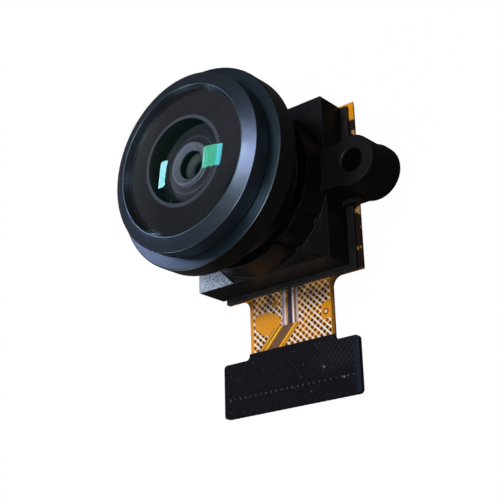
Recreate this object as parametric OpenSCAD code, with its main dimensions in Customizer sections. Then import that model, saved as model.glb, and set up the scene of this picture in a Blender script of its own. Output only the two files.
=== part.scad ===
// Wide-angle camera module: a screw-in lens in a two-eared moulded holder, glued over
// an image sensor on a flexible circuit with a 24-way plug end.
// +Z is the optical axis, looking out of the lens.  The origin lies on that axis, on the
// rear face of the stiffener that the module rests on.  The circuit's tail runs to -Y.

/* [Flexible circuit] */
// Thickness of the flexible circuit
flex_t = 0.15; // [0.1:0.01:0.2]
// Distance from the axis to the left edge of the head
head_left = 5.5; // [5:0.1:6]
// Distance from the axis to the right edge of the head
head_right = 7.2; // [6.8:0.1:7.6]
// Distance from the axis to the top edge of the head
head_top = 6.6; // [6.5:0.1:7]
// Distance from the axis to the bottom edge of the head
head_bottom = 6.9; // [6.7:0.1:7.4]
// Width of the neck between head and plug end
neck_w = 7.85; // [5:0.05:9]
// Sideways offset of the neck's centre line
neck_x = 0.53; // [0:0.01:0.8]
// Radius of the fillets where neck and head meet
neck_fillet_r = 0.8; // [0.3:0.1:1.2]
// Sideways offset of the plug end's centre line
plug_x = 0.3; // [0:0.01:0.6]
// Distance from the axis to the start of the plug end
plug_start = 11.7; // [11:0.1:13]
// Length of the plug end along the tail
plug_l = 4.2; // [3.5:0.1:6]
// Radius of the fillets where neck and plug end meet
plug_fillet_r = 0.35; // [0.1:0.05:0.4]
// Radius of the plug end's corners
plug_corner_r = 0.3; // [0.1:0.05:0.6]
// Number of contacts
contact_n = 24; // [10:1:24]
// Spacing of the contacts
contact_pitch = 0.5; // [0.5:0.01:0.52]
// Width of one contact
contact_w = 0.3; // [0.2:0.01:0.35]
// Length of one contact
contact_l = 2.6; // [1.5:0.1:3]
// Thickness of the contact plating
contact_t = 0.035; // [0.02:0.005:0.05]

/* [Stiffeners] */
// Thickness of the head stiffener
head_stiffener_t = 0.2; // [0.15:0.05:0.5]
// Inset of the head stiffener from the head's edges
stiffener_inset = 0.1; // [0.05:0.05:0.5]
// Thickness of the plug stiffener
plug_stiffener_t = 0.2; // [0.1:0.05:0.3]
// Height of the tab that the plug stiffener carries up the neck
plug_tab_h = 0.45; // [0.2:0.05:1]

/* [Lens holder] */
// Width of the square base
holder_w = 12.4; // [12:0.1:13]
// Length of the square base
holder_l = 12.8; // [12.2:0.1:13]
// Height of the square base
base_h = 2.7; // [2.5:0.1:3.5]
// Overhang of the round tower past the base's sides
tower_overhang = 0.16; // [0:0.02:0.18]
// Draft of the tower, taken off its radius at the top
tower_draft = 0.1; // [0:0.01:0.2]
// Height of the tower's top above the circuit
tower_top = 5; // [4.5:0.1:5.4]
// Wall of the base round the sensor space
base_wall = 1.1; // [0.8:0.1:1.4]
// Depth of the sensor space
sensor_space_h = 1.9; // [1.7:0.05:2]
// Thickness of the web between sensor space and thread
web_t = 0.4; // [0.3:0.05:0.5]
// Side of the light opening through the web
window_w = 5; // [4:0.1:5.6]
// Width of the grip notches on the tower
notch_w = 0.5; // [0.3:0.05:0.8]
// Depth of the grip notches
notch_depth = 0.25; // [0.1:0.05:0.4]
// Edge break on the base's upright corners
base_chamfer = 0.12; // [0.05:0.01:0.3]

/* [Ears] */
// Distance between the two screw holes
ear_pitch = 17.7; // [17.4:0.1:18.6]
// Diameter of the screw holes
ear_hole_d = 1.66; // [1.2:0.02:2]
// Diameter of an ear's boss at its face
boss_d = 3.76; // [3.4:0.02:3.9]
// Draft of the boss, added to its radius above the foot
boss_draft = 0.05; // [0:0.01:0.12]
// Flare of the boss's foot
foot_flare = 0.15; // [0.05:0.01:0.2]
// Height of the boss's foot
foot_h = 0.7; // [0.4:0.1:1]
// Height of the boss
boss_h = 3.3; // [2.9:0.02:3.6]
// Width of the arm between boss and base
arm_w = 3.3; // [2.4:0.1:3.6]
// Step from the boss's foot in to the arm's foot
foot_step = 0.12; // [0.05:0.01:0.2]
// Width of the countersink round a screw hole
hole_break = 0.12; // [0.05:0.01:0.25]

/* [Lens barrel] */
// Diameter of the focusing thread
thread_d = 10; // [9.5:0.1:10.4]
// Height of the barrel's rear end above the circuit
barrel_rear = 2.9; // [2.7:0.1:3.4]
// Height of the shoulder behind the flange
shoulder_z = 6.9; // [6:0.1:7.4]
// Diameter of the shoulder
shoulder_d = 12; // [11:0.1:13]
// Ledge of the flange outside the bezel
flange_ledge = 0.91; // [0.6:0.01:1.2]
// Height of the flange's rear face
flange_z = 8.05; // [7.8:0.05:8.4]
// Height of the flange's rim
flange_rim_h = 1.69; // [1.2:0.01:1.8]
// Rise of the flange's sloped front face
flange_slope = 0.06; // [0.02:0.01:0.3]
// Edge break on the flange's rim
flange_break = 0.06; // [0.02:0.01:0.2]
// Bore that holds the inner elements
stack_d = 5.9; // [5.5:0.1:6.1]
// Height of the lip in front of the inner elements
lip_z = 9.6; // [9.2:0.05:9.65]
// Opening of that lip
lip_d = 2.4; // [2:0.1:3]
// Wall of the raised ring round the lip's opening
lip_ring_w = 0.55; // [0.5:0.05:0.7]
// Height of that ring above the well round it
lip_ring_h = 0.3; // [0.2:0.05:0.4]
// Flare of the lip's opening
lip_flare = 0.4; // [0.1:0.01:0.45]
// Thickness of the lip under the well
lip_t = 0.2; // [0.15:0.05:0.25]
// Diameter of the well round the raised ring
well_d = 5.7; // [5.5:0.1:5.9]
// Diameter at the mouth of the cone in front of the well
mouth_d = 6.5; // [6.3:0.1:7]

/* [Front bezel] */
// Wall of the bezel round its thread
bezel_wall = 0.56; // [0.4:0.01:0.8]
// Height of the bezel's straight side
bezel_side_h = 1.28; // [1:0.01:1.4]
// Rise of its sloped face
bezel_slope = 0.41; // [0.3:0.01:0.6]
// Hold of the bezel's lip over the front element's edge
lip_hold = 0.3; // [0.2:0.01:0.4]
// Flare of the opening from the lip to the rim
rim_flare = 0.19; // [0.1:0.01:0.3]
// Width of the flat land round the rim
rim_land = 0.07; // [0.03:0.01:0.15]
// Depth of the bezel's lip below its rim
bezel_lip_depth = 0.4; // [0.3:0.01:0.5]
// Wall of the barrel round the front element
seat_wall = 0.35; // [0.25:0.01:0.5]
// Parting gap between bezel and flange
bezel_gap = 0.06; // [0.02:0.01:0.1]

/* [Optics] */
// Diameter of the front element
front_d = 11.5; // [10.4:0.1:12]
// Radius of its domed face
front_r = 13; // [12:0.1:16]
// Radius of its hollow rear face
front_hollow_r = 5; // [4.6:0.1:6]
// Diameter of that hollow, which the blackened ring follows
front_hollow_d = 5.9; // [5.5:0.1:6.2]
// Edge thickness of the front element
front_edge_t = 0.55; // [0.4:0.01:0.7]
// Thickness of the blackened ring behind the front element
baffle_t = 0.1; // [0.05:0.01:0.15]
// Fit of the inner elements in their bore, on the radius
element_fit = 0.05; // [0.03:0.01:0.1]
// Edge thickness of the second element
second_t = 0.75; // [0.6:0.05:0.9]
// Radius of the second element's front face
second_r = 7; // [6:0.1:9]
// Radius of its hollow rear face
second_hollow_r = 2.4; // [2.2:0.05:3]
// Diameter of that hollow
second_hollow_d = 3.4; // [3:0.1:3.8]
// Length of the front spacer
front_spacer_l = 0.9; // [0.7:0.05:1]
// Opening of the front spacer
front_clear_d = 1.6; // [1.5:0.1:2.4]
// Length of the third element's edge
third_t = 0.8; // [0.6:0.05:0.9]
// Radius of the third element's front face
third_r = 3; // [2.5:0.1:8]
// Thickness of the aperture stop
stop_t = 0.1; // [0.05:0.01:0.15]
// Opening of the aperture stop
stop_d = 1; // [0.8:0.05:1.6]
// Edge thickness of the fourth element
fourth_t = 1; // [0.9:0.05:1.2]
// Radius of the cemented face between fourth and fifth elements
cement_r = 8; // [7.5:0.1:12]
// Length of the fifth element's edge
fifth_t = 0.7; // [0.6:0.05:0.8]
// Length of the rear spacer
rear_spacer_l = 0.5; // [0.4:0.05:0.6]
// Thickness of the rear retaining ring
retainer_t = 0.6; // [0.5:0.05:0.7]
// Opening of the rear spacer and retaining ring
clear_d = 4.2; // [3.6:0.1:4.6]
// Side of the infrared filter
filter_w = 6.4; // [6.2:0.1:7]
// Thickness of the infrared filter
filter_t = 0.3; // [0.2:0.05:0.4]

/* [Sensor and small parts] */
// Width of the sensor package
sensor_w = 5.7; // [5:0.1:6]
// Length of the sensor package
sensor_l = 5; // [4.4:0.1:5.4]
// Thickness of the sensor package
sensor_t = 0.45; // [0.3:0.05:0.5]
// Thickness of its cover glass
sensor_glass_t = 0.4; // [0.3:0.05:0.45]
// Inset of the cover glass from the package
sensor_glass_inset = 0.15; // [0.05:0.05:0.3]
// Height of the solder balls
ball_h = 0.15; // [0.1:0.01:0.2]
// Diameter of the solder balls
ball_d = 0.3; // [0.2:0.01:0.35]
// Solder balls along each side
ball_n = 6; // [4:1:7]
// Spacing of the solder balls
ball_pitch = 0.75; // [0.6:0.05:0.75]
// Length of a chip capacitor or resistor
chip_l = 1; // [0.6:0.05:1.1]
// Width of a chip capacitor or resistor
chip_w = 0.5; // [0.3:0.05:0.55]
// Gap between the sensor package and the chips round it
chip_gap = 0.75; // [0.5:0.05:0.9]
// Spacing of the chips in a row
chip_pitch = 2; // [1.3:0.1:2.2]
// Height of a chip capacitor
capacitor_h = 0.5; // [0.3:0.05:0.55]
// Height of a chip resistor
resistor_h = 0.35; // [0.2:0.05:0.4]

/* [Glue and label] */
// Width of the glue bead at the holder's right foot
bead_right = 0.6; // [0.3:0.05:0.8]
// Width of the glue bead at the holder's bottom foot
bead_bottom = 0.45; // [0.2:0.05:0.5]
// Height of the glue bead
bead_h = 0.3; // [0.2:0.05:0.5]
// Width of the focus glue on the tower's top
focus_glue_w = 0.5; // [0.3:0.05:0.7]
// Height of the focus glue
focus_glue_h = 0.3; // [0.2:0.05:0.5]
// Thickness of the label
label_t = 0.08; // [0.05:0.01:0.12]
// Margin between the label and the base's edges
label_margin = 0.05; // [0.03:0.01:0.3]
// Clearance between the label's slanting edge and the tower
label_clear = 0.06; // [0.05:0.01:0.6]

/* [Hidden] */
$fn = 96;
eps = 0.01;

// Levels: the circuit's front face carries everything above it.
flex_z = head_stiffener_t;
board_z = flex_z + flex_t;
base_top_z = board_z + base_h;
tower_top_z = board_z + tower_top;
web_z = board_z + sensor_space_h;
filter_z = web_z - filter_t;
barrel_rear_z = board_z + barrel_rear;
shoulder_bottom_z = board_z + shoulder_z;
flange_rear_z = board_z + flange_z;
flange_rim_z = flange_rear_z + flange_rim_h;
flange_front_z = flange_rim_z + flange_slope;
bezel_side_z = flange_front_z + bezel_gap + bezel_side_h;
bezel_front_z = bezel_side_z + bezel_slope;
bezel_lip_z = bezel_front_z - bezel_lip_depth;

// Plan sizes
plug_w = contact_pitch * (contact_n + 1);
plug_end_y = -plug_start - plug_l;
neck_left = neck_x - neck_w / 2;
neck_right = neck_x + neck_w / 2;
plug_left = plug_x - plug_w / 2;
tower_r = holder_w / 2 + tower_overhang;
boss_r = boss_d / 2;
foot_r = boss_r + boss_draft + foot_flare;
arm_foot_w = 2 * (foot_r - foot_step);
thread_r = thread_d / 2;
stack_r = stack_d / 2;
element_r = stack_r - element_fit;

// The barrel's head and the bezel are built outwards from the front element.
seat_r = front_d / 2 + element_fit;
bezel_thread_r = seat_r + seat_wall;
bezel_r = bezel_thread_r + bezel_wall;
flange_r = bezel_r + flange_ledge;
bezel_lip_r = front_d / 2 - lip_hold;
bezel_open_r = bezel_lip_r + rim_flare;

// The bezel's lip is a cone that bears on the front element's dome at this radius.
lip_bearing_r = (bezel_lip_r + front_d / 2) / 2;
lip_bearing_slope = lip_bearing_r / sqrt(front_r * front_r - lip_bearing_r * lip_bearing_r);
front_apex_z = bezel_lip_z + sag(front_r, lip_bearing_r)
    - lip_bearing_slope * (lip_bearing_r - bezel_lip_r);
lip_foot_z = bezel_lip_z - lip_bearing_slope * (bezel_thread_r - bezel_lip_r);
front_edge_z = front_apex_z - sag(front_r, front_d / 2);
front_rear_z = front_edge_z - front_edge_t;
seat_z = front_rear_z - baffle_t;
barrel_top_z = lip_foot_z - bezel_gap;
well_floor_z = board_z + lip_z + lip_t;
lip_ring_z = well_floor_z + lip_ring_h;

// The inner elements stack backwards from the lip.
second_front_z = board_z + lip_z - sag(second_r, element_r) + sag(second_r, lip_d / 2);
second_rear_z = second_front_z - second_t;
front_spacer_z = second_rear_z - front_spacer_l;
third_face_sag = sag(third_r, front_clear_d / 2);
third_rear_z = front_spacer_z - third_t;
stop_z = third_rear_z - stop_t;
rear_spacer_z = stop_z - rear_spacer_l;
fourth_rear_z = rear_spacer_z - fourth_t;
fifth_rear_z = fourth_rear_z - fifth_t;
retainer_z = fifth_rear_z - retainer_t;

// Height that a sphere of radius r falls away at distance d from its axis
function sag(r, d) = r - sqrt(r * r - d * d);
// Points of a circular arc between two angles
function arc(r, a0, a1, n) = [for (i = [0:n]) r * [cos(a0 + (a1 - a0) * i / n), sin(a0 + (a1 - a0) * i / n)]];
// Profile points of a spherical face, from distance d0 to d1, with its apex at height z
function face(r, d0, d1, z, n) = [for (i = [0:n]) let (d = d0 + (d1 - d0) * i / n) [d, z - sag(r, d)]];

// ---- flexible circuit ----
// A fillet in the inner corner at (x, y), on the neck's side sx, under (sy = 1) or over (sy = -1) a shoulder
module quarter_fillet(x, y, r, sx, sy) {
    translate([x, y])
        mirror([sx < 0 ? 1 : 0, 0])
            mirror([0, sy < 0 ? 1 : 0])
                difference() {
                    translate([-eps, -r])
                        square([r + eps, r + eps]);
                    translate([r, -r])
                        circle(r);
                }
}

module rounded_plate(w, l, r) {
    union() {
        translate([r, 0])
            square([w - 2 * r, l]);
        translate([0, r])
            square([w, l - 2 * r]);
        for (x = [r, w - r], y = [r, l - r])
            translate([x, y])
                circle(r, $fn = 32);
    }
}

module plug_outline() {
    union() {
        translate([plug_left, plug_end_y])
            rounded_plate(plug_w, plug_l, plug_corner_r);
        quarter_fillet(neck_right, -plug_start, plug_fillet_r, 1, -1);
        quarter_fillet(neck_left, -plug_start, plug_fillet_r, -1, -1);
    }
}

module flex_circuit() {
    color([0.85, 0.55, 0.12])
        translate([0, 0, flex_z])
            linear_extrude(flex_t)
                union() {
                    translate([-head_left, -head_bottom])
                        square([head_left + head_right, head_bottom + head_top]);
                    translate([neck_left, -plug_start - plug_corner_r])
                        square([neck_w, plug_start + plug_corner_r - head_bottom + eps]);
                    quarter_fillet(neck_right, -head_bottom, neck_fillet_r, 1, 1);
                    quarter_fillet(neck_left, -head_bottom, neck_fillet_r, -1, 1);
                    plug_outline();
                }
}

module head_stiffener() {
    color([0.13, 0.13, 0.14])
        translate([-head_left + stiffener_inset, -head_bottom + stiffener_inset, 0])
            cube([head_left + head_right - 2 * stiffener_inset,
                head_bottom + head_top - 2 * stiffener_inset, head_stiffener_t]);
}

module plug_stiffener() {
    color([0.05, 0.05, 0.06])
        translate([0, 0, board_z])
            linear_extrude(plug_stiffener_t)
                union() {
                    plug_outline();
                    translate([neck_left, -plug_start - plug_corner_r])
                        square([neck_w, plug_tab_h + plug_corner_r]);
                }
}

module contact_fingers() {
    color([0.9, 0.72, 0.35])
        for (i = [0:contact_n - 1])
            translate([plug_left + contact_pitch * (i + 1) - contact_w / 2, plug_end_y,
                flex_z - contact_t])
                cube([contact_w, contact_l, contact_t]);
}

// ---- lens holder ----
module base_block() {
    linear_extrude(base_h)
        difference() {
            translate([-holder_w / 2, -holder_l / 2])
                square([holder_w, holder_l]);
            for (x = [-1, 1], y = [-1, 1])
                translate([x * holder_w / 2, y * holder_l / 2])
                    rotate(45)
                        square(base_chamfer * sqrt(2), center = true);
        }
}

module ear() {
    shank_r = boss_r + boss_draft;
    translate([ear_pitch / 2, 0, 0])
        rotate_extrude()
            polygon([[0, 0], [foot_r, 0], [foot_r, foot_h], [shank_r, foot_h + 2 * foot_flare],
                [boss_r, boss_h], [0, boss_h]]);
    translate([0, -arm_w / 2, 0])
        cube([ear_pitch / 2, arm_w, boss_h]);
    translate([0, -arm_foot_w / 2, 0])
        cube([ear_pitch / 2, arm_foot_w, foot_h]);
}

module grip_notches() {
    for (diagonal = [-45, -135], side = [-1, 1])
        rotate(diagonal + side * 11.25)
            translate([tower_r - notch_depth, -notch_w / 2, base_h])
                cube([tower_r, notch_w, tower_top]);
}

module lens_holder() {
    color([0.07, 0.07, 0.08])
        translate([0, 0, board_z])
            difference() {
                union() {
                    base_block();
                    translate([0, 0, base_h - eps])
                        cylinder(h = tower_top - base_h + eps, r1 = tower_r,
                            r2 = tower_r - tower_draft);
                    ear();
                    mirror([1, 0, 0])
                        ear();
                }
                sensor_space();
                translate([0, 0, sensor_space_h + web_t])
                    cylinder(h = tower_top, d = thread_d);
                translate([-window_w / 2, -window_w / 2, 0])
                    cube([window_w, window_w, tower_top]);
                grip_notches();
                for (x = [-1, 1])
                    translate([x * ear_pitch / 2, 0, 0])
                        ear_hole();
            }
}

module sensor_space() {
    inner_w = holder_w - 2 * base_wall;
    inner_l = holder_l - 2 * base_wall;
    pocket_w = filter_w + 2 * element_fit;
    translate([-inner_w / 2, -inner_l / 2, -eps])
        cube([inner_w, inner_l, sensor_space_h - filter_t + eps]);
    translate([-pocket_w / 2, -pocket_w / 2, -eps])
        cube([pocket_w, pocket_w, sensor_space_h + eps]);
}

module ear_hole() {
    translate([0, 0, -eps])
        cylinder(h = boss_h + 2 * eps, d = ear_hole_d);
    translate([0, 0, boss_h - hole_break])
        cylinder(h = 2 * hole_break, d1 = ear_hole_d, d2 = ear_hole_d + 4 * hole_break);
}

module base_glue() {
    color([0.04, 0.04, 0.05])
        translate([0, 0, board_z])
            difference() {
                union() {
                    translate([holder_w / 2, -holder_l / 2, 0])
                        cube([bead_right, holder_l - base_chamfer, bead_h]);
                    translate([-head_left, -holder_l / 2 - bead_bottom, 0])
                        cube([head_left + holder_w / 2 + bead_right, bead_bottom, bead_h]);
                    translate([-head_left, -head_bottom, 0])
                        cube([head_left + neck_left, head_bottom - holder_l / 2, bead_h]);
                }
                translate([0, -arm_foot_w / 2, -eps])
                    cube([ear_pitch / 2, arm_foot_w, bead_h + 2 * eps]);
            }
}

module focus_glue() {
    color([0.1, 0.1, 0.1])
        translate([0, 0, tower_top_z])
            rotate_extrude()
                polygon([[thread_r, 0], [thread_r + focus_glue_w, 0], [thread_r, focus_glue_h]]);
}

module label() {
    corner_x = -holder_w / 2 + label_margin;
    corner_y = -holder_l / 2 + label_margin;
    // The slanting edge lies outside the tower's foot.
    edge_sum = (tower_r + label_clear) * sqrt(2);
    color([0.85, 0.89, 0.93])
        translate([0, 0, base_top_z])
            linear_extrude(label_t)
                polygon([[corner_x, corner_y], [-edge_sum - corner_y, corner_y],
                    [corner_x, -edge_sum - corner_x]]);
}

// ---- lens barrel and bezel ----
module lens_barrel() {
    color([0.09, 0.09, 0.1])
        rotate_extrude()
            polygon([
                [stack_r, barrel_rear_z],
                [thread_r, barrel_rear_z],
                [thread_r, shoulder_bottom_z],
                [shoulder_d / 2, shoulder_bottom_z],
                [shoulder_d / 2, flange_rear_z],
                [flange_r - flange_break, flange_rear_z],
                [flange_r, flange_rear_z + flange_break],
                [flange_r, flange_rim_z - flange_break],
                [flange_r - flange_break, flange_rim_z],
                [bezel_r, flange_front_z],
                [bezel_thread_r, flange_front_z],
                [bezel_thread_r, barrel_top_z],
                [seat_r, barrel_top_z],
                [seat_r, seat_z],
                [mouth_d / 2, seat_z],
                [well_d / 2, well_floor_z],
                [lip_d / 2 + lip_ring_w, well_floor_z],
                [lip_d / 2 + lip_ring_w, lip_ring_z],
                [lip_d / 2 + lip_flare, lip_ring_z],
                [lip_d / 2, board_z + lip_z],
                [stack_r, board_z + lip_z]]);
}

module front_bezel() {
    color([0.12, 0.13, 0.15])
        rotate_extrude()
            polygon([
                [bezel_lip_r, bezel_lip_z],
                [bezel_thread_r, lip_foot_z],
                [bezel_thread_r, flange_front_z + bezel_gap],
                [bezel_r, flange_front_z + bezel_gap],
                [bezel_r, bezel_side_z],
                [bezel_open_r + rim_land, bezel_front_z],
                [bezel_open_r, bezel_front_z]]);
}

// ---- optics ----
module front_element() {
    hollow_r = front_hollow_d / 2;
    color([0.5, 0.6, 0.65, 0.6])
        rotate_extrude()
            polygon(concat(
                face(front_r, 0, front_d / 2, front_apex_z, 24),
                [[front_d / 2, front_rear_z]],
                face(front_hollow_r, hollow_r, 0, front_rear_z + sag(front_hollow_r, hollow_r), 24)));
}

module front_baffle() {
    color([0.06, 0.06, 0.07])
        translate([0, 0, seat_z])
            difference() {
                cylinder(h = baffle_t, d = front_d);
                translate([0, 0, -eps])
                    cylinder(h = baffle_t + 2 * eps, d = front_hollow_d);
            }
}

module second_element() {
    hollow = second_hollow_d / 2;
    color([0.45, 0.62, 0.6, 0.6])
        rotate_extrude()
            polygon(concat(
                face(second_r, 0, element_r, second_front_z + sag(second_r, element_r), 16),
                [[element_r, second_rear_z]],
                face(second_hollow_r, hollow, 0, second_rear_z + sag(second_hollow_r, hollow), 16)));
}

// A spacer or retaining ring whose opening widens towards the front
module cone_ring(z, h, open_d) {
    rotate_extrude()
        polygon([[open_d / 2, z], [element_r, z], [element_r, z + h],
            [open_d / 2 + h / 3, z + h], [open_d / 2, z + h / 2]]);
}

module front_spacer() {
    color([0.2, 0.2, 0.21])
        cone_ring(front_spacer_z, front_spacer_l, front_clear_d);
}

module third_element() {
    color([0.45, 0.62, 0.6, 0.6])
        rotate_extrude()
            polygon(concat(
                [[0, third_rear_z], [element_r, third_rear_z], [element_r, front_spacer_z],
                    [front_clear_d / 2, front_spacer_z]],
                face(third_r, front_clear_d / 2, 0, front_spacer_z + third_face_sag, 12)));
}

module aperture_stop() {
    color([0.02, 0.02, 0.02])
        translate([0, 0, stop_z])
            difference() {
                cylinder(h = stop_t, r = element_r);
                translate([0, 0, -eps])
                    cylinder(h = stop_t + 2 * eps, d = stop_d);
            }
}

module rear_spacer() {
    color([0.2, 0.2, 0.21])
        cone_ring(rear_spacer_z, rear_spacer_l, clear_d);
}

module fourth_element() {
    color([0.5, 0.6, 0.65, 0.6])
        rotate_extrude()
            polygon(concat(
                [[0, rear_spacer_z], [element_r, rear_spacer_z]],
                face(cement_r, element_r, 0, fourth_rear_z + sag(cement_r, element_r), 12)));
}

module fifth_element() {
    color([0.5, 0.6, 0.65, 0.6])
        rotate_extrude()
            polygon(concat(
                [[0, fifth_rear_z], [element_r, fifth_rear_z]],
                face(cement_r, element_r, 0, fourth_rear_z + sag(cement_r, element_r), 12)));
}

module rear_retainer() {
    color([0.15, 0.15, 0.16])
        cone_ring(retainer_z, retainer_t, clear_d);
}

module infrared_filter() {
    color([0.6, 0.35, 0.4, 0.5])
        translate([-filter_w / 2, -filter_w / 2, filter_z])
            cube([filter_w, filter_w, filter_t]);
}

// ---- sensor and small parts ----
module sensor_package() {
    color([0.25, 0.27, 0.3])
        translate([-sensor_w / 2, -sensor_l / 2, board_z + ball_h])
            cube([sensor_w, sensor_l, sensor_t]);
}

module sensor_cover_glass() {
    color([0.4, 0.5, 0.45, 0.6])
        translate([-sensor_w / 2 + sensor_glass_inset, -sensor_l / 2 + sensor_glass_inset,
            board_z + ball_h + sensor_t])
            cube([sensor_w - 2 * sensor_glass_inset, sensor_l - 2 * sensor_glass_inset,
                sensor_glass_t]);
}

module sensor_solder_balls() {
    color([0.75, 0.76, 0.78])
        for (i = [0:ball_n - 1], j = [0:ball_n - 1])
            translate([(i - (ball_n - 1) / 2) * ball_pitch, (j - (ball_n - 1) / 2) * ball_pitch,
                board_z])
                cylinder(h = ball_h, d = ball_d, $fn = 24);
}

module chip(x, y, h, angle) {
    translate([x, y, board_z])
        rotate(angle)
            translate([-chip_l / 2, -chip_w / 2, 0])
                cube([chip_l, chip_w, h]);
}

module chip_capacitors() {
    row_y = sensor_l / 2 + chip_gap + chip_w / 2;
    color([0.62, 0.5, 0.36])
        for (place = [-1:1], side = [-1, 1])
            chip(place * chip_pitch, side * row_y, capacitor_h, 0);
}

module chip_resistors() {
    color([0.12, 0.12, 0.13])
        for (side = [-1, 1])
            chip(sensor_w / 2 + chip_gap + chip_w / 2, side * chip_pitch / 2, resistor_h, 90);
}

flex_circuit();
head_stiffener();
plug_stiffener();
contact_fingers();
lens_holder();
base_glue();
focus_glue();
label();
lens_barrel();
front_bezel();
front_element();
front_baffle();
second_element();
front_spacer();
third_element();
aperture_stop();
rear_spacer();
fourth_element();
fifth_element();
rear_retainer();
infrared_filter();
sensor_package();
sensor_cover_glass();
sensor_solder_balls();
chip_capacitors();
chip_resistors();
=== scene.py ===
"""The looks of a wide-angle camera module, laid out as a Blender add-on.

Lengths in the property groups are in metres; patterns inside materials are worked out in millimetres.
The module stands on the rear face of its stiffener, with +Z along the optical axis and the tail to -Y.
"""

import math

import bmesh
import bpy
from bpy.props import FloatProperty, FloatVectorProperty, IntProperty, PointerProperty
from mathutils import Matrix, Vector


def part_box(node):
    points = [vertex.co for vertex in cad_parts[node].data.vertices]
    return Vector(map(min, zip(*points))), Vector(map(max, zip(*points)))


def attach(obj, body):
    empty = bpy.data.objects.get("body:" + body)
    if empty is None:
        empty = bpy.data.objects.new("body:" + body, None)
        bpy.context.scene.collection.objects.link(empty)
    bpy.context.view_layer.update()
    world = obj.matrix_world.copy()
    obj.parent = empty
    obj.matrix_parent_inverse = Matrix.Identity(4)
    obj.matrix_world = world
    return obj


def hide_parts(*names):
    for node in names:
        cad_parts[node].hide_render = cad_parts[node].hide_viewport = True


bl_info = {
    "name": "Wide-angle camera module",
    "version": (1, 0, 0),
    "blender": (4, 5, 0),
    "location": "View3D > Sidebar > Camera module",
    "description": "Dresses the packed camera module and sets its studio",
    "category": "Object",
}

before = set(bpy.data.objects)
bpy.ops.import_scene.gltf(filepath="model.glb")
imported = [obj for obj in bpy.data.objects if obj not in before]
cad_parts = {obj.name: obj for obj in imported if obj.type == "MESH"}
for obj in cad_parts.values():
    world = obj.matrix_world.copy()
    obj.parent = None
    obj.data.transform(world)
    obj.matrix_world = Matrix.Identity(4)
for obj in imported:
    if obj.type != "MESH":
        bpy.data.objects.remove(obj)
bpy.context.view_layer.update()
MM = 0.001
BODY = "root"

# Levels and edges of the solids that the looks are fitted to, in metres
TOWER_TOP_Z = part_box("lens_holder")[1].z
BARREL_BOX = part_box("lens_barrel")
BEZEL_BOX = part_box("front_bezel")
PLUG_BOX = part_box("plug_stiffener")
CONTACTS_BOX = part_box("contact_fingers")

# The front glass, in millimetres: its dome, the hollow behind, and a height between the two
DOME_APEX_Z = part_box("front_element")[1].z / MM
DOME_RADIUS = 13.0
HOLLOW_RADIUS = 2.95
OVER_HOLLOW_Z = DOME_APEX_Z - 0.75

# Where the lens head's paints begin or end, in millimetres: the mouth before the inner glass, the
# pale line in its well, the raised ring round the lip, and the flange's face from under the bezel
MOUTH_PAINT_RADIUS = 3.3
MOUTH_PAINT_Z = 9.5
WELL_LINE_RADIUS = 2.35
LIP_RING_PAINT_RADIUS = 1.82
FLANGE_PAINT_RADIUS = 6.5

# Artwork of the flexible circuit, in millimetres: the neck's middle, half the width that its mesh
# covers, the head's lower edge, the bend of the traces and the start of the black plug end
NECK_X = 0.53
MESH_HALF_WIDTH = 3.58
HEAD_EDGE_Y = -6.85
TRACE_BEND_Y = -9.6
PLUG_BLACK_Y = -11.5


# ---------------------------------------------------------------- property groups


class LensLook(bpy.types.PropertyGroup):
    """Finish of the turned lens parts and the glass"""

    barrel_tint: FloatVectorProperty(
        name="Barrel tint", description="Anodised colour of the barrel",
        subtype="COLOR", default=(0.045, 0.045, 0.045))
    bezel_tint: FloatVectorProperty(
        name="Bezel tint", description="Anodised colour of the bezel",
        subtype="COLOR", default=(0.09, 0.114, 0.15))
    baffle_tint: FloatVectorProperty(
        name="Baffle tint", description="Colour of the blackened ring behind the front glass",
        subtype="COLOR", default=(0.0065, 0.0045, 0.0065))
    coating_tint: FloatVectorProperty(
        name="Coating tint", description="Colour that the coating of the front glass reflects",
        subtype="COLOR", default=(0.035, 0.7, 0.46))
    glass_ior: FloatProperty(
        name="Glass index", description="Refractive index of the front element",
        default=1.66, min=1.4, max=1.9)
    thread_pitch: FloatProperty(
        name="Thread pitch", description="Rise of the focusing thread per turn",
        subtype="DISTANCE", default=0.35 * MM)
    thread_depth: FloatProperty(
        name="Thread depth", description="Height of the thread's ridge",
        subtype="DISTANCE", default=0.16 * MM)


class FlexLook(bpy.types.PropertyGroup):
    """Artwork of the flexible circuit, seen through its amber film"""

    film_tint: FloatVectorProperty(
        name="Film tint", description="Amber of the bare polyimide film",
        subtype="COLOR", default=(0.74, 0.3, 0.01))
    mesh_tint: FloatVectorProperty(
        name="Mesh tint", description="Pale metal of the ground mesh",
        subtype="COLOR", default=(0.86, 0.78, 0.74))
    mesh_pitch: FloatProperty(
        name="Mesh pitch", description="Spacing of the ground mesh's strands",
        subtype="DISTANCE", default=0.383 * MM)
    mark_count: IntProperty(
        name="Contact marks", description="Embossed marks across the plug end",
        default=24, min=1)
    mark_radius: FloatProperty(
        name="Mark radius", description="Radius of one embossed mark",
        subtype="DISTANCE", default=0.1 * MM)


class StageLook(bpy.types.PropertyGroup):
    """Studio: camera, lamps and floor"""

    focal_length: FloatProperty(
        name="Focal length", description="Focal length on a 36 mm sensor, in millimetres",
        default=77.46)
    floor_half: FloatProperty(
        name="Floor half width", description="Half the side of the floor",
        subtype="DISTANCE", default=0.6)
    key_level: FloatProperty(
        name="Key level", description="Brightness that the lamps seen in the lens take shares of",
        default=12.0)
    fill_level: FloatProperty(
        name="Fill level", description="Brightness of the overhead box that lights the circuit",
        default=30.0)
    world_level: FloatProperty(
        name="World level", description="Strength of the world's even light",
        default=0.09)


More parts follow.
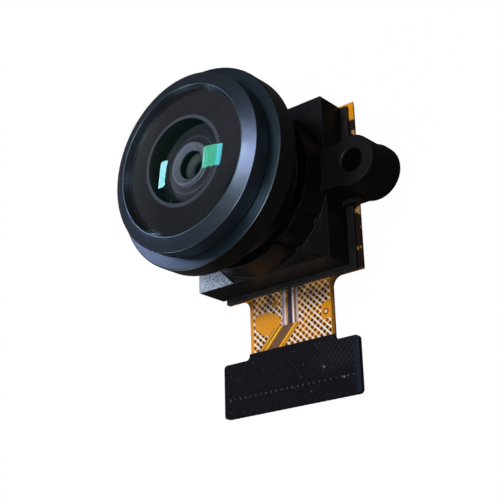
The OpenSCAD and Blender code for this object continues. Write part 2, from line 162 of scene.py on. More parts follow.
# Where the studio's camera stands, in metres, and which way it looks
VIEW_POINT = Vector((46.84, -33.07, 61.63)) * MM
VIEW_DIRECTION = Vector((-0.59101, 0.35775, -0.72299)).normalized()
VIEW_RIGHT = Vector((0.76805, -0.02443, -0.63993))

GROUPS = {"lens_look": LensLook, "flex_look": FlexLook, "stage_look": StageLook}


# ---------------------------------------------------------------- shader maths


class Value:
    """A number socket, so that shader maths reads as Python."""

    def __init__(self, finish, socket):
        self.finish = finish
        self.socket = socket

    def __add__(self, other):
        return self.finish.math("ADD", self, other)

    def __sub__(self, other):
        return self.finish.math("SUBTRACT", self, other)

    def __rsub__(self, other):
        return self.finish.math("SUBTRACT", other, self)

    def __mul__(self, other):
        return self.finish.math("MULTIPLY", self, other)

    def __truediv__(self, other):
        return self.finish.math("DIVIDE", self, other)

    def __pow__(self, other):
        return self.finish.math("POWER", self, other)

    def __mod__(self, other):
        return self.finish.math("FLOORED_MODULO", self, other)

    def __abs__(self):
        return self.finish.math("ABSOLUTE", self)


class Finish:
    """One material in the making: its nodes, its shader and the pattern maths they need."""

    def __init__(self, name, tree=None):
        if tree:
            self.tree = tree
            self.tree.nodes.clear()
            return
        self.material = bpy.data.materials.new(name)
        self.material.use_nodes = True
        self.tree = self.material.node_tree
        self.tree.nodes.clear()
        self.shader = self.node("ShaderNodeBsdfPrincipled")
        self.output = self.node("ShaderNodeOutputMaterial", {}, {0: self.shader.outputs[0]})

    def node(self, kind, settings=None, inputs=None):
        """Makes a node, sets its settings and then its sockets, by name or by place."""
        made = self.tree.nodes.new(kind)
        for key, value in (settings or {}).items():
            setattr(made, key, value)
        for key, value in (inputs or {}).items():
            self.feed(made.inputs[key], value)
        return made

    def feed(self, socket, value):
        """Links or sets one socket; a colour given without alpha is opaque."""
        if isinstance(value, Value):
            self.tree.links.new(value.socket, socket)
        elif isinstance(value, bpy.types.NodeSocket):
            self.tree.links.new(value, socket)
        elif hasattr(value, "__len__") and len(socket.default_value) > len(value):
            socket.default_value = (*value, 1)
        else:
            socket.default_value = value

    def math(self, operation, *values):
        """One step of number maths on sockets, values or plain numbers."""
        made = self.node("ShaderNodeMath", {"operation": operation}, dict(enumerate(values)))
        return Value(self, made.outputs[0])

    def set(self, **sockets):
        """Sets the shader's sockets; an underscore in a name stands for a space."""
        for key, value in sockets.items():
            self.feed(self.shader.inputs[key.replace("_", " ")], value)

    def seen(self, level, glossy_level):
        """How far a background shows as white: level to the camera and through glass, less in gloss."""
        path = self.node("ShaderNodeLightPath")
        camera, glossy, through = (
            Value(self, path.outputs[f"Is {kind} Ray"]) for kind in ("Camera", "Glossy", "Transmission"))
        return self.math("MINIMUM", (camera + through) * level + glossy * glossy_level, level)

    def place(self):
        """Object coordinates in millimetres, as a vector socket."""
        coords = self.node("ShaderNodeTexCoord").outputs["Object"]
        scaled = self.node("ShaderNodeVectorMath", {"operation": "SCALE"},
                           {0: coords, "Scale": 1 / MM})
        return scaled.outputs[0]

    def xyz(self):
        """The three object coordinates in millimetres."""
        split = self.node("ShaderNodeSeparateXYZ", {}, {0: self.place()})
        return [Value(self, socket) for socket in split.outputs]

    def radius(self):
        """Distance from the optical axis, in millimetres."""
        x, y, _ = self.xyz()
        return self.math("SQRT", x * x + y * y)

    def vector(self, operation, *values, out="Vector"):
        """One step of vector maths; out names the socket that is wanted."""
        made = self.node("ShaderNodeVectorMath", {"operation": operation}, dict(enumerate(values)))
        return made.outputs[out]

    def noise(self, scale, detail=2.0, roughness=0.5, stretch=None):
        """Noise with so many waves in a millimetre, about 0.5 on average."""
        vector = self.place()
        if stretch:
            vector = self.vector("MULTIPLY", vector, stretch)
        made = self.node("ShaderNodeTexNoise", {}, {
            "Vector": vector, "Scale": scale, "Detail": detail, "Roughness": roughness})
        return Value(self, made.outputs[0])

    def cells(self, scale, randomness=1.0):
        """Distance to the nearest of so many scattered points in a millimetre."""
        made = self.node("ShaderNodeTexVoronoi", {}, {
            "Vector": self.place(), "Scale": scale, "Randomness": randomness})
        return Value(self, made.outputs["Distance"])

    def smooth(self, value, low, high, start=0.0, end=1.0):
        """A smooth step of value, from start at low to end at high."""
        made = self.node("ShaderNodeMapRange", {"interpolation_type": "SMOOTHSTEP"}, {
            0: value, 1: low, 2: high, 3: start, 4: end})
        return Value(self, made.outputs[0])

    def band(self, value, centre, half, soft):
        """1 within half of centre, falling to 0 over soft."""
        return self.smooth(abs(value - centre), half, half + soft, 1.0, 0.0)

    def mix(self, factor, first, second):
        """Colour that goes from first to second with factor."""
        made = self.node("ShaderNodeMix", {"data_type": "RGBA"}, {0: factor, 6: first, 7: second})
        return made.outputs[2]

    def bump(self, height, depth, normal=None):
        """Normal of a height of 0 to 1 that stands depth millimetres high."""
        inputs = {"Height": height, "Distance": depth * MM, "Strength": 1.0}
        if normal is not None:
            inputs["Normal"] = normal
        return self.node("ShaderNodeBump", {}, inputs).outputs[0]

    def soft_edge(self, radius):
        """Normal that rounds edges over radius millimetres."""
        return self.node("ShaderNodeBevel", {"samples": 8}, {"Radius": radius * MM}).outputs[0]


# ---------------------------------------------------------------- finishes


def moulded_black():
    """Black moulded plastic with a fine spark-eroded grain and slightly worn edges."""
    finish = Finish("moulded_black")
    grain = finish.noise(9.0, 3.0, 0.6)
    cloud = finish.noise(0.5, 2.0)
    finish.set(
        Base_Color=finish.mix(cloud, (0.002, 0.002, 0.0023), (0.0045, 0.0045, 0.0045)),
        Roughness=finish.smooth(grain, 0.3, 0.7, 0.38, 0.52),
        Specular_IOR_Level=0.16,
        Normal=finish.bump(grain, 0.006, finish.soft_edge(0.09)))
    return finish.material


def turned_metal(name, tint, roughness, ring_pitch, ring_depth, metallic=0.0, paint=None, lean=0.0):
    """Anodised metal with fine turning rings; paint tints its steps, lean turns its slopes inwards."""
    finish = Finish(name)
    _, _, z = finish.xyz()
    radius = finish.radius()
    ring = finish.math("SINE", (radius + z * 0.73) * (math.tau / ring_pitch))
    cloud = finish.noise(0.8, 3.0)
    colour = finish.mix(cloud, tint, tuple(channel * 1.12 for channel in tint))
    if paint:
        colour = paint(finish, radius, z, colour)
    finish.set(
        Base_Color=colour,
        Metallic=finish.smooth(radius, MOUTH_PAINT_RADIUS, MOUTH_PAINT_RADIUS + 0.05, 0.0, metallic),
        Roughness=finish.smooth(cloud, 0.3, 0.7, roughness - 0.003, roughness + 0.004),
        Specular_IOR_Level=0.3,
        Normal=finish.bump(ring * ring_depth + radius * lean, 1.0))
    return finish.material


def barrel_paint(finish, radius, z, colour):
    """Matte black in the well before the inner glass, a paler ring in it, and a satin flange face."""
    inside = finish.smooth(radius, MOUTH_PAINT_RADIUS, MOUTH_PAINT_RADIUS + 0.05, 1.0, 0.0)
    well = inside * finish.smooth(z, MOUTH_PAINT_Z, MOUTH_PAINT_Z + 0.1)
    colour = finish.mix(well, colour, (0.011, 0.011, 0.015))
    line = finish.band(radius, WELL_LINE_RADIUS, 0.04, 0.05)
    colour = finish.mix(well * line, colour, (0.035, 0.038, 0.046))
    raised = finish.smooth(radius, LIP_RING_PAINT_RADIUS, LIP_RING_PAINT_RADIUS + 0.04, 1.0, 0.0)
    colour = finish.mix(well * raised, colour, (0.085, 0.1, 0.13))
    face_z = BEZEL_BOX[0].z / MM
    outside = finish.smooth(radius, FLANGE_PAINT_RADIUS, FLANGE_PAINT_RADIUS + 0.1)
    face = outside * finish.smooth(z, face_z - 0.2, face_z - 0.1)
    return finish.mix(face, colour, (0.044, 0.066, 0.084))


def bezel_paint(finish, _, z, colour):
    """The narrow land round the opening, worn bright."""
    top_z = BEZEL_BOX[1].z / MM
    land = finish.smooth(z, top_z - 0.045, top_z - 0.02)
    return finish.mix(land, colour, (0.07, 0.11, 0.13))


def baffle_black(look):
    """Matte black ring with faint arcs left by the cutter."""
    finish = Finish("baffle_film")
    radius = finish.radius()
    cloud = finish.noise(0.7, 2.0)
    arcs = finish.noise(1.0, 3.0, 0.6) * finish.math("SINE", radius * 38)
    tint = finish.mix(cloud, tuple(look.baffle_tint), tuple(1.5 * c for c in look.baffle_tint))
    # The ground edge of the glass's hollow shows as a paler ring.
    tint = finish.mix(finish.band(radius, 3.08, 0.1, 0.06), tint, (0.06, 0.07, 0.09))
    finish.set(
        Base_Color=tint,
        Roughness=0.55,
        Specular_IOR_Level=0.2,
        Normal=finish.bump(arcs, 0.003))
    return finish.material


def dome_normal(finish):
    """The exact normal of the front glass's dome, and the mesh's own normal elsewhere."""
    centre = (0.0, 0.0, DOME_APEX_Z - DOME_RADIUS)
    spoke = finish.vector("SUBTRACT", finish.place(), centre)
    length = Value(finish, finish.vector("LENGTH", spoke, out="Value"))
    on_dome = finish.band(length, DOME_RADIUS, 0.02, 0.005)
    plain = finish.node("ShaderNodeNewGeometry").outputs["Normal"]
    turned = finish.node("ShaderNodeMix", {"data_type": "VECTOR"}, {0: on_dome, 4: plain, 5: spoke})
    return finish.vector("NORMALIZE", turned.outputs[1])


def hollow_mask(finish):
    """1 on the front glass's hollow rear face, 0 on its other faces."""
    _, _, z = finish.xyz()
    behind = finish.smooth(z, OVER_HOLLOW_Z, OVER_HOLLOW_Z + 0.01, 1.0, 0.0)
    return behind * finish.smooth(finish.radius(), HOLLOW_RADIUS - 0.05, HOLLOW_RADIUS, 1.0, 0.0)


def clear_glass(name, tint, ior, coat_tint, domed=False):
    """Polished glass whose coating reflects coat_tint; lamps light what is behind it.

    The domed front glass has an added coat towards -X, and a hollow that reflects nothing.
    """
    finish = Finish(name)
    finish.set(
        Base_Color=tint, Roughness=0.0, IOR=ior, Transmission_Weight=1.0,
        Specular_Tint=coat_tint)
    surface = finish.shader.outputs[0]
    if domed:
        x, _, _ = finish.xyz()
        finish.set(
            Normal=dome_normal(finish),
            Coat_Weight=finish.smooth(x, -2.6, -1.4, 0.6, 0.0),
            Coat_Roughness=0.0)
        bent = finish.node("ShaderNodeBsdfRefraction", {}, {"Color": tint, "Roughness": 0.0, "IOR": ior})
        surface = finish.node("ShaderNodeMixShader", {}, {
            0: 1 - hollow_mask(finish), 1: bent.outputs[0], 2: surface}).outputs[0]
    shadow = finish.node("ShaderNodeLightPath").outputs["Is Shadow Ray"]
    clear = finish.node("ShaderNodeBsdfTransparent", {}, {"Color": (0.96, 0.97, 0.97)})
    mixed = finish.node("ShaderNodeMixShader", {}, {0: shadow, 1: surface, 2: clear.outputs[0]})
    finish.feed(finish.output.inputs[0], mixed.outputs[0])
    return finish.material


def spacer_steps():
    """Dark anodised spacer with turned lands."""
    return turned_metal("spacer_metal", (0.12, 0.125, 0.14), 0.42, 0.3, 0.004)


def ground_mesh(finish, look, x, y, patches):
    """Colour and relief of two families of pale strands at 45 degrees, with dark amber openings."""
    pitch = look.mesh_pitch / MM
    wobble = (finish.noise(1.6, 2.0) - 0.5) * 0.05

    def strands(run, half):
        away = abs(((run * math.sqrt(0.5) + wobble) / pitch) % 1.0 - 0.5)
        return finish.smooth(away, 0.5 - half, 0.5 - half - 0.14, 1.0, 0.0)

    falling = strands(x + y, 0.115)
    rising = strands(x - y, 0.1)
    opening = finish.mix(patches, (0.03, 0.006, 0.002), (0.3, 0.07, 0.004))
    amber = finish.mix(patches, (0.72, 0.32, 0.03), (0.85, 0.46, 0.06))
    pale = finish.mix(patches, tuple(look.mesh_tint), (0.85, 0.5, 0.14))
    mesh = finish.mix(rising, opening, amber)
    mesh = finish.mix(falling, mesh, pale)
    mesh = finish.mix(rising * falling, mesh, (0.96, 0.92, 0.88))
    return mesh, falling * 0.6 + rising * 0.4


def trace_bundle(finish, x, y):
    """Colour and mask of the traces: straight down from the head, then slanting away to the left."""
    slanted = finish.smooth(y, TRACE_BEND_Y - 0.04, TRACE_BEND_Y + 0.04, 1.0, 0.0)
    across = x - finish.math("MINIMUM", y - TRACE_BEND_Y, 0.0)

    def stripes(ground, lanes):
        for centre, half, tint in lanes:
            ground = finish.mix(finish.band(across, centre, half - 0.02, 0.04), ground, tint)
        return ground

    straight = stripes((0.42, 0.2, 0.12), [
        (-0.2, 0.08, (0.3, 0.34, 0.44)),
        (0.0, 0.08, (0.78, 0.7, 0.66)),
        (0.17, 0.06, (0.62, 0.29, 0.03)),
        (0.45, 0.2, (0.035, 0.035, 0.055)),
        (0.76, 0.08, (0.84, 0.8, 0.74)),
        (0.94, 0.05, (0.2, 0.09, 0.09)),
        (1.15, 0.07, (0.62, 0.58, 0.6)),
    ])
    slant = stripes((0.22, 0.07, 0.008), [
        (-0.85, 0.12, (0.72, 0.36, 0.012)),
        (-0.42, 0.15, (0.82, 0.43, 0.015)),
        (0.27, 0.46, (0.16, 0.075, 0.035)),
        (0.97, 0.14, (0.82, 0.43, 0.015)),
        (1.3, 0.1, (0.62, 0.27, 0.012)),
    ])
    covered = finish.math(
        "MAXIMUM", finish.band(across, 0.475, 0.76, 0.04),
        slanted * finish.band(across, 0.185, 1.23, 0.04))
    return finish.mix(slanted, straight, slant), covered


def mesh_windows(finish, x, y):
    """Mask of the ragged windows where the mesh is left away and the bare film shows."""
    ragged = (finish.noise(1.8, 3.0) - 0.5) * 0.9
    blob = finish.math("SQRT", ((x + 1.75) / 1.25) ** 2 + ((y + x * 0.2 + 9.5) / 0.85) ** 2)
    left = finish.smooth(blob + ragged, 1.0, 1.12, 1.0, 0.0)
    right = finish.band(x + ragged, 3.85, 0.4, 0.1) * finish.band(y + ragged, -9.2, 0.5, 0.1)
    spot = finish.math("SQRT", (x + 0.95) ** 2 + (y + 7.7) ** 2)
    window = finish.math("MAXIMUM", left, right)
    return finish.math("MAXIMUM", window, finish.smooth(spot, 0.2, 0.3, 1.0, 0.0))


def flex_film(look):
    """Amber film over a crosshatched ground mesh and a bundle of traces that turns aside."""
    finish = Finish("polyimide_flex")
    x, y, _ = finish.xyz()
    patches = finish.smooth(finish.noise(0.9, 3.0, 0.6), 0.35, 0.65)
    mesh, relief = ground_mesh(finish, look, x, y, patches)
    bundle, in_bundle = trace_bundle(finish, x, y)
    margin = finish.smooth(abs(x - NECK_X), MESH_HALF_WIDTH, MESH_HALF_WIDTH + 0.07)
    head = finish.smooth(y, HEAD_EDGE_Y, HEAD_EDGE_Y + 0.05)
    bare = finish.math("MAXIMUM", finish.math("MAXIMUM", mesh_windows(finish, x, y), margin), head)
    colour = finish.mix(bare, mesh, tuple(look.film_tint))

    # A plated hole with its copper ring stands in the right window.
    ring = finish.math("SQRT", (x - 3.72) ** 2 + (y + 9.35) ** 2)
    colour = finish.mix(finish.band(ring, 0.2, 0.04, 0.04), colour, (0.3, 0.09, 0.03))
    colour = finish.mix(finish.smooth(ring, 0.08, 0.13, 1.0, 0.0), colour, (0.8, 0.7, 0.6))
    colour = finish.mix(in_bundle * (1 - head), colour, bundle)

    # Resin has crept over the head's right margin, up to its bright top corner.
    crept = finish.smooth(x, 6.1, 6.2) * finish.smooth(y, 5.0, 5.3, 1.0, 0.0) * head
    blotch = finish.smooth(finish.noise(1.3, 3.0), 0.55, 0.63)
    colour = finish.mix(crept, colour, finish.mix(blotch, (0.016, 0.011, 0.009), (0.4, 0.22, 0.07)))

    # The film is darker along the neck's right edge, painted shade darkens it next to the holder, and the
    # plug end is black.
    edge = finish.smooth(x, 4.17, 4.25) * (1 - head)
    colour = finish.mix(edge * 0.8, colour, (0.07, 0.035, 0.012))
    # under: painted shade that stands in for the holder's shadow over the top of the neck.
    under = finish.smooth(y, -9.3, -7.3) * (1 - head) * finish.smooth(patches, 0.0, 1.0, 0.88, 0.6)
    colour = finish.mix(under, colour, (0.014, 0.008, 0.006))
    plug = finish.smooth(y, PLUG_BLACK_Y, PLUG_BLACK_Y + 0.1, 1.0, 0.0)
    finish.set(
        Base_Color=finish.mix(plug, colour, (0.008, 0.008, 0.01)),
        Roughness=finish.smooth(finish.noise(0.6, 2.0), 0.3, 0.7, 0.26, 0.38),
        Specular_IOR_Level=0.12,
        Coat_Weight=0.03,
        Coat_Roughness=0.15,
        Normal=finish.bump(relief, 0.012))
    return finish.material


def plug_film():
    """Black film over the plug end: faint slanting ridges, dust and a painted bluish highlight along its
    right end.
    """
    finish = Finish("plug_film")
    x, y, z = finish.xyz()
    ridge = finish.math("SINE", (x - y) * (math.tau / 0.46)) * 0.5 + 0.5
    ridge = ridge * finish.smooth(x, 1.5, 4.5) * finish.smooth(y, -14.3, -13.2)
    weave = finish.noise(3.5, 4.0, 0.6)
    dust = finish.smooth(finish.cells(1.6), 0.0, 0.09, 1.0, 0.0)
    # worn: a painted highlight, a bluish band along the film's right end.
    worn = finish.smooth(x, 5.9, 6.4) * 0.5
    tint = finish.mix(finish.noise(0.35, 2.0), (0.001, 0.001, 0.002), (0.0025, 0.003, 0.0045))
    tint = finish.mix(finish.smooth(weave, 0.52, 0.75), tint, (0.012, 0.014, 0.018))
    tint = finish.mix(ridge * 0.6, tint, (0.016, 0.018, 0.024))
    tint = finish.mix(worn, tint, (0.012, 0.018, 0.032))
    for speck_x, speck_y, size in ((3.45, -13.5, 0.13), (2.25, -15.1, 0.06), (5.15, -14.52, 0.12)):
        away = finish.math("SQRT", (x - speck_x) ** 2 + (y - speck_y) ** 2)
        dust = finish.math("MAXIMUM", dust, finish.smooth(away, size * 0.4, size, 1.0, 0.0))
    tint = finish.mix(dust * 0.7, tint, (0.16, 0.18, 0.2))
    # The raised marks are scuffed pale, most of all towards the right.
    face_z = PLUG_BOX[1].z / MM
    raised = finish.smooth(z, face_z + 0.003, face_z + 0.02)
    scuff = finish.smooth(finish.noise(1.7, 2.0), 0.3, 0.7) * finish.smooth(x, -6, 5, 0.5, 1.7)
    tint = finish.mix(raised * scuff, tint, (0.26, 0.29, 0.32))
    finish.set(
        Base_Color=tint,
        Roughness=finish.smooth(weave, 0.3, 0.7, 0.42, 0.55),
        Specular_IOR_Level=0.07,
        Normal=finish.bump(ridge * 0.7 + weave * 0.3, 0.02))
    return finish.material


def laminate_black():
    """Black glass-fibre laminate with a faint square weave."""
    finish = Finish("black_stiffener")
    x, y, _ = finish.xyz()
    weave = finish.math("SINE", x * 14) * finish.math("SINE", y * 14)
    cloud = finish.noise(0.4, 2.0)
    finish.set(
        Base_Color=finish.mix(cloud, (0.012, 0.012, 0.013), (0.024, 0.024, 0.026)),
        Roughness=0.45,
        Specular_IOR_Level=0.4,
        Normal=finish.bump(weave, 0.004))
    return finish.material


def contact_gold():
    """Gold-plated contact strips with fine scuffs along their length."""
    finish = Finish("contact_gold")
    scuff = finish.noise(6.0, 3.0, 0.6, (1.0, 0.15, 1.0))
    finish.set(
        Base_Color=finish.mix(scuff, (0.9, 0.62, 0.2), (0.98, 0.76, 0.36)),
        Metallic=1.0,
        Roughness=finish.smooth(scuff, 0.3, 0.7, 0.2, 0.36))
    return finish.material


def epoxy_black():
    """Black cured epoxy with a wavy, glossy skin."""
    finish = Finish("black_epoxy")
    wave = finish.noise(1.3, 3.0)
    finish.set(
        Base_Color=(0.008, 0.008, 0.009),
        Roughness=finish.smooth(wave, 0.3, 0.7, 0.35, 0.55),
        Specular_IOR_Level=0.25,
        Normal=finish.bump(wave, 0.08, finish.soft_edge(0.12)))
    return finish.material


def label_print():
    """White label under an even grey-blue speckle."""
    finish = Finish("label_paper")
    speck = finish.noise(8.0, 3.0, 0.7)
    ink = finish.smooth(speck, 0.44, 0.56)
    fade = finish.noise(0.9, 2.0)
    finish.set(
        Base_Color=finish.mix(ink * finish.smooth(fade, 0.3, 0.6, 0.4, 1.0),
                              (0.5, 0.59, 0.72), (0.07, 0.11, 0.18)),
        Roughness=0.5,
        Specular_IOR_Level=0.3,
        Normal=finish.bump(finish.noise(4.0, 3.0), 0.003))
    return finish.material


def speckled(name, low, high, roughness, scale):
    """A hard fired or plated surface, mottled between two colours."""
    finish = Finish(name)
    mottle = finish.noise(scale, 3.0)
    finish.set(
        Base_Color=finish.mix(mottle, low, high),
        Roughness=finish.smooth(mottle, 0.3, 0.7, roughness - 0.05, roughness + 0.08),
        Normal=finish.bump(mottle, 0.004))
    return finish.material


# ---------------------------------------------------------------- mesh helpers


def facing(z, across):
    """Turn whose Z axis points along z and whose X axis runs as near to across as it can."""
    x = (across - across.dot(z) * z).normalized()
    return Matrix((x, z.cross(x), z)).transposed().to_4x4()


def dress(nodes, material):
    """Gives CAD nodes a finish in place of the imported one."""
    for name in nodes:
        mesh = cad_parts[name].data
        mesh.materials.clear()
        mesh.materials.append(material)


def settle(piece, slot, *replaced):
    """Puts a finished piece on the module's one body and hides the nodes it stands for; slot is not used."""
    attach(piece, BODY)
    if replaced:
        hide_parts(*replaced)
    return piece


def add_object(name, mesh, material):
    """Puts a mesh with one finish into the scene as an object."""
    mesh.materials.clear()
    mesh.materials.append(material)
    piece = bpy.data.objects.new(name, mesh)
    bpy.context.scene.collection.objects.link(piece)
    return piece


def shade(mesh, angle):
    """Smooth shading with edges over angle degrees kept sharp."""
    mesh.polygons.foreach_set("use_smooth", [True] * len(mesh.polygons))
    mesh.set_sharp_from_angle(angle=math.radians(angle))


def rounded_copy(node, name, material, width, angle=35, segments=2):
    """A merged copy of a CAD node with its edges rounded over width millimetres."""
    work = bmesh.new()
    work.from_mesh(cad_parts[node].data)
    bmesh.ops.remove_doubles(work, verts=work.verts, dist=1e-7)
    bmesh.ops.dissolve_limit(work, angle_limit=math.radians(0.5), verts=work.verts, edges=work.edges)
    bmesh.ops.recalc_face_normals(work, faces=work.faces)
    mesh = bpy.data.meshes.new(name)
    work.to_mesh(mesh)
    work.free()
    shade(mesh, angle)
    piece = add_object(name, mesh, material)
    bevel = piece.modifiers.new("edges", "BEVEL")
    bevel.width = width * MM
    bevel.segments = segments
    bevel.angle_limit = math.radians(angle)
    bevel.use_clamp_overlap = True
    bevel.harden_normals = True
    bevel.miter_outer = "MITER_ARC"
    return baked(piece)


def baked(piece):
    """Turns a piece's live modifiers into a plain mesh."""
    graph = bpy.context.evaluated_depsgraph_get()
    mesh = bpy.data.meshes.new_from_object(piece.evaluated_get(graph))
    piece.modifiers.clear()
    old = piece.data
    piece.data = mesh
    bpy.data.meshes.remove(old)
    return piece


class Tree:
    """A Geometry Nodes tree with named inputs, ending in Realize Instances and Set Material."""

    def __init__(self, name, material, sizes):
        self.group = bpy.data.node_groups.new(name, "GeometryNodeTree")
        self.group.interface.new_socket("Geometry", in_out="OUTPUT", socket_type="NodeSocketGeometry")
        self.sizes = sizes
        self.idents = {}
        for label, value in sizes.items():
            kind = "NodeSocketInt" if isinstance(value, int) else "NodeSocketFloat"
            socket = self.group.interface.new_socket(label, in_out="INPUT", socket_type=kind)
            self.idents[label] = socket.identifier
        self.entry = self.group.nodes.new("NodeGroupInput")
        self.material = material

    def node(self, kind, settings=None, inputs=None):
        """Makes a node, sets its settings and then its sockets, by name or by place."""
        made = self.group.nodes.new(kind)
        for key, value in (settings or {}).items():
            setattr(made, key, value)
        for key, value in (inputs or {}).items():
            if isinstance(value, bpy.types.NodeSocket):
                self.group.links.new(value, made.inputs[key])
            else:
                made.inputs[key].default_value = value
        return made

    def size(self, label):
        """The tree's input of that name."""
        return self.entry.outputs[label]

    def finish(self, name, geometry):
        """Ends the tree, runs it on an empty mesh and returns the plain result."""
        real = self.node("GeometryNodeRealizeInstances", {}, {0: geometry})
        painted = self.node("GeometryNodeSetMaterial", {}, {0: real.outputs[0], "Material": self.material})
        self.node("NodeGroupOutput", {}, {0: painted.outputs[0]})
        piece = add_object(name, bpy.data.meshes.new(name), self.material)
        modifier = piece.modifiers.new("repeat", "NODES")
        modifier.node_group = self.group
        for label, value in self.sizes.items():
            modifier[self.idents[label]] = value
        piece = baked(piece)
        piece.data.materials.clear()
        piece.data.materials.append(self.material)
        return piece


# ---------------------------------------------------------------- operators


class ModuleOperator(bpy.types.Operator):
    """Base of the module's operators"""

    bl_options = {"REGISTER", "UNDO"}

    def execute(self, context):
        self.build(context.scene)
        return {"FINISHED"}


class CAMERA_MODULE_OT_stage(ModuleOperator):
    """Sets the camera, the lamps, the world and the floor"""

    bl_idname = "camera_module.stage"
    bl_label = "Studio"

    def build(self, scene):
        look = scene.stage_look
        scene.view_settings.view_transform = "Standard"
        self.camera(scene, look)
        self.world(scene, look)
        self.floor(look)
        self.lamps(look)

    def camera(self, scene, look):
        data = bpy.data.cameras.new("view")
        data.lens = look.focal_length
        data.sensor_width = 36
        data.clip_start = 0.005
        data.clip_end = 10
        camera = bpy.data.objects.new("view", data)
        camera.matrix_world = Matrix.Translation(VIEW_POINT) @ facing(-VIEW_DIRECTION, VIEW_RIGHT)
        scene.collection.objects.link(camera)
        scene.camera = camera

    def world(self, scene, look):
        world = bpy.data.worlds.new("studio")
        world.use_nodes = True
        studio = Finish("studio", world.node_tree)
        dim = studio.node("ShaderNodeBackground", {}, {
            "Color": (0.86, 0.92, 1.0), "Strength": look.world_level})
        white = studio.node("ShaderNodeBackground", {}, {"Color": (1, 1, 1), "Strength": 1.0})
        mixed = studio.node("ShaderNodeMixShader", {}, {
            0: studio.seen(1.0, 0.03), 1: dim.outputs[0], 2: white.outputs[0]})
        studio.node("ShaderNodeOutputWorld", {}, {0: mixed.outputs[0]})
        scene.world = world

    def floor(self, look):
        half = look.floor_half
        mesh = bpy.data.meshes.new("floor")
        mesh.from_pydata([(-half, -half, 0), (half, -half, 0), (half, half, 0), (-half, half, 0)],
                         [], [(0, 1, 2, 3)])
        finish = Finish("floor_white")
        finish.set(
            Base_Color=finish.mix(finish.seen(1.0, 0.0), (0.03, 0.03, 0.03), (0.95, 0.95, 0.95)),
            Roughness=0.9, Specular_IOR_Level=0.1)
        glow = finish.node("ShaderNodeEmission", {}, {"Color": (1, 1, 1), "Strength": 1.0})
        mixed = finish.node("ShaderNodeMixShader", {}, {
            0: finish.seen(0.97, 0.02), 1: finish.shader.outputs[0], 2: glow.outputs[0]})
        finish.feed(finish.output.inputs[0], mixed.outputs[0])
        floor = add_object("floor", mesh, finish.material)

    def lamps(self, look):
        # Each lamp: its direction from the lens, its width and height in degrees, its level and its
        # tint. The two halves of the key also slide apart, by so many degrees.
        key = look.key_level
        over_lens = (-0.1595, 0.322, 0.941)
        self.lamp("key_left", over_lens, 9.0, 13.5, key * 0.85, (0.75, 0.9, 0.8), -2.0)
        self.lamp("key_right", over_lens, 4.0, 13.5, key * 1.1, (1.0, 0.85, 1.4), 4.5)
        self.lamp("left_strip", (-0.7227, 0.3082, 0.6128), 6.0, 12.5, key * 1.15, (1.0, 0.92, 1.3))
        self.lamp("right_box", (0.72, 0.38, 0.58), 14, 14, key * 0.2, (0.9, 0.95, 1.0))
        self.lamp("back_box", (-0.75, -0.6, 0.28), 24, 24, key * 0.5, (0.95, 0.97, 1.0))
        self.lamp("fill_box", (0.3, -0.3, 0.9), 16, 16, look.fill_level, (1.0, 0.98, 0.95))

    def lamp(self, name, direction, width, height, level, tint, slide=0.0):
        """A soft box 0.3 m from the lens, rolled to stand square in its reflection there."""
        distance = 0.3
        direction = Vector(direction).normalized()
        mirror = (direction - VIEW_DIRECTION).normalized()
        across = VIEW_RIGHT - 2 * VIEW_RIGHT.dot(mirror) * mirror
        data = bpy.data.lights.new(name, "AREA")
        data.shape = "RECTANGLE"
        data.size = 2 * distance * math.tan(math.radians(width / 2))
        data.size_y = 2 * distance * math.tan(math.radians(height / 2))
        data.energy = level * math.pi * data.size * data.size_y
        data.color = tint
        lamp = bpy.data.objects.new(name, data)
        place = direction * distance + across * distance * math.tan(math.radians(slide))
        place.z += BEZEL_BOX[1].z
        lamp.matrix_world = Matrix.Translation(place) @ facing(direction, across)
        bpy.context.scene.collection.objects.link(lamp)


class CAMERA_MODULE_OT_lens(ModuleOperator):
    """Finishes the barrel, the bezel, the spacers and the baffle"""

    bl_idname = "camera_module.lens"
    bl_label = "Lens metal"

    def build(self, scene):
        look = scene.lens_look
        barrel = turned_metal(
            "barrel_anodised", tuple(look.barrel_tint), 0.3, 0.11, 0.0008, 0.95, barrel_paint)
        bezel = turned_metal(
            "bezel_anodised", tuple(look.bezel_tint), 0.28, 0.09, 0.0006, 0.95, bezel_paint, lean=0.1)
        body = rounded_copy("lens_barrel", "barrel_body", barrel, 0.04, angle=15)
        settle(body, "barrel_anodised", "lens_barrel")
        ring = rounded_copy("front_bezel", "bezel_ring", bezel, 0.03, angle=15)
        settle(ring, "bezel_anodised", "front_bezel")
        retainer = rounded_copy("rear_retainer", "retainer_ring", barrel, 0.02)
        settle(retainer, "barrel_anodised", "rear_retainer")
        spacer = spacer_steps()
        for node in ("front_spacer", "rear_spacer"):
            settle(rounded_copy(node, node + "_ring", spacer, 0.02), "spacer_metal", node)
        dress(["front_baffle", "aperture_stop"], baffle_black(look))


